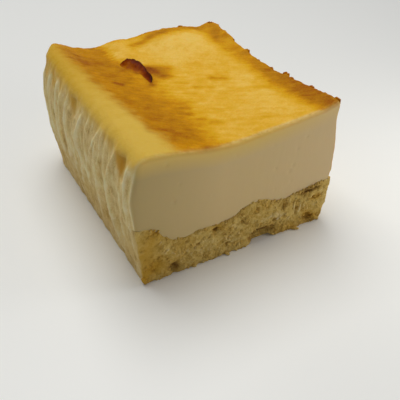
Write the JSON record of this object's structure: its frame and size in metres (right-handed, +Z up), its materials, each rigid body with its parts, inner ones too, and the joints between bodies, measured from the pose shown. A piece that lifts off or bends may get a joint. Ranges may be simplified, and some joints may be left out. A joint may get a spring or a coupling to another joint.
{
  "type": "cheesecake",
  "caption": "Rectangular end piece of baked cheesecake: browned, slightly sunken top, clean cut front, paper-pleated sides and a crumbly biscuit base.",
  "frame": {"origin": "middle of the underside, on the surface that the piece stands on", "axes": "+Z up; +Y from the cut face towards the back; +X to the right as the cut face is looked at"},
  "size_m": [0.0836, 0.0945, 0.0515],
  "materials": {
    "browned_cheese": "smooth pale cream at the cut, golden to brown baked skin with a soft sheen on top",
    "biscuit_crumb": "rough pressed biscuit crumb, dull tan"
  },
  "bodies": {
    "root": {"cheese_filling": "browned_cheese", "biscuit_base": "biscuit_crumb"}
  },
  "joints": []
}
